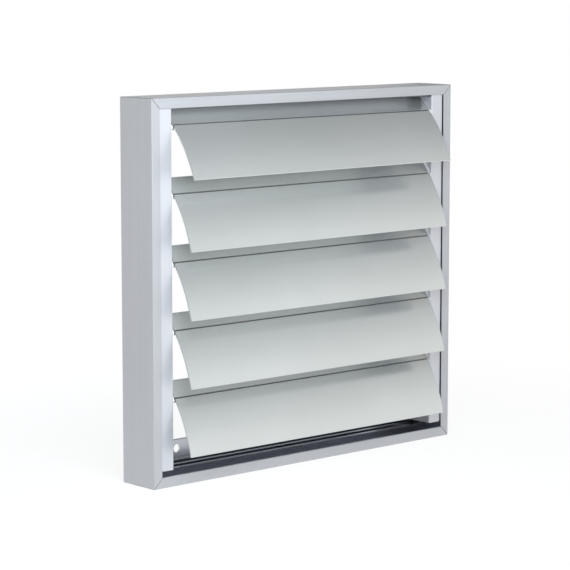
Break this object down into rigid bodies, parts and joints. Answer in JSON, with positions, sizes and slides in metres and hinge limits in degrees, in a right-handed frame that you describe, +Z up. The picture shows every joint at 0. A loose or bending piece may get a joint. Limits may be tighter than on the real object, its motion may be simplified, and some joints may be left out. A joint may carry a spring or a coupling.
{
  "type": "louvred vent grille",
  "caption": "Wall vent grille with a deep mitred aluminium frame and curved horizontal louvre blades that turn on end pivots to open or close the air path.",
  "frame": {"origin": "centre of the rear face, which lies against the wall, in the middle of the four fixing holes", "axes": "+X to the right of someone facing the grille, +Y back into the wall, +Z up"},
  "size_m": [0.43, 0.0812, 0.4],
  "materials": {
    "frame_anodised": "clear satin anodised extrusion",
    "strip_anodised": "clear satin anodised folded sheet",
    "blade_satin": "pale grey satin coating on an extrusion",
    "cleat_aluminium": "mill finish, sawn ends",
    "bush_nylon": "natural moulded nylon",
    "rod_steel": "plain drawn steel",
    "zinc_steel": "bright zinc plated"
  },
  "bodies": {
    "frame": {"frame_top": "frame_anodised", "frame_bottom": "frame_anodised", "frame_left": "frame_anodised", "frame_right": "frame_anodised", "corner_cleat_bottom_left": "cleat_aluminium", "corner_cleat_bottom_right": "cleat_aluminium", "corner_cleat_top_left": "cleat_aluminium", "corner_cleat_top_right": "cleat_aluminium", "pivot_strip_left": "strip_anodised", "strip_screws_left": "zinc_steel", "bushes_left": "bush_nylon", "pivot_strip_right": "strip_anodised", "strip_screws_right": "zinc_steel", "bushes_right": "bush_nylon"},
    "louvre_1": {"blade_1": "blade_satin", "pivot_rod_1": "rod_steel"},
    "louvre_2": {"blade_2": "blade_satin", "pivot_rod_2": "rod_steel"},
    "louvre_3": {"blade_3": "blade_satin", "pivot_rod_3": "rod_steel"},
    "louvre_4": {"blade_4": "blade_satin", "pivot_rod_4": "rod_steel"},
    "louvre_5": {"blade_5": "blade_satin", "pivot_rod_5": "rod_steel"}
  },
  "joints": [
    {"name": "louvre_1_pivot", "type": "hinge", "parent": "frame", "child": "louvre_1", "pos_m": [0, -0.0445, 0.1694], "axis": [-1, 0, 0], "range_deg": [-32, 43]},
    {"name": "louvre_2_pivot", "type": "hinge", "parent": "frame", "child": "louvre_2", "pos_m": [0, -0.0445, 0.0993], "axis": [-1, 0, 0], "range_deg": [-26, 49]},
    {"name": "louvre_3_pivot", "type": "hinge", "parent": "frame", "child": "louvre_3", "pos_m": [0, -0.0445, 0.0292], "axis": [-1, 0, 0], "range_deg": [-25.5, 49.5]},
    {"name": "louvre_4_pivot", "type": "hinge", "parent": "frame", "child": "louvre_4", "pos_m": [0, -0.0445, -0.0409], "axis": [-1, 0, 0], "range_deg": [-24.5, 50.5]},
    {"name": "louvre_5_pivot", "type": "hinge", "parent": "frame", "child": "louvre_5", "pos_m": [0, -0.0445, -0.111], "axis": [-1, 0, 0], "range_deg": [-23.5, 51.5]}
  ]
}
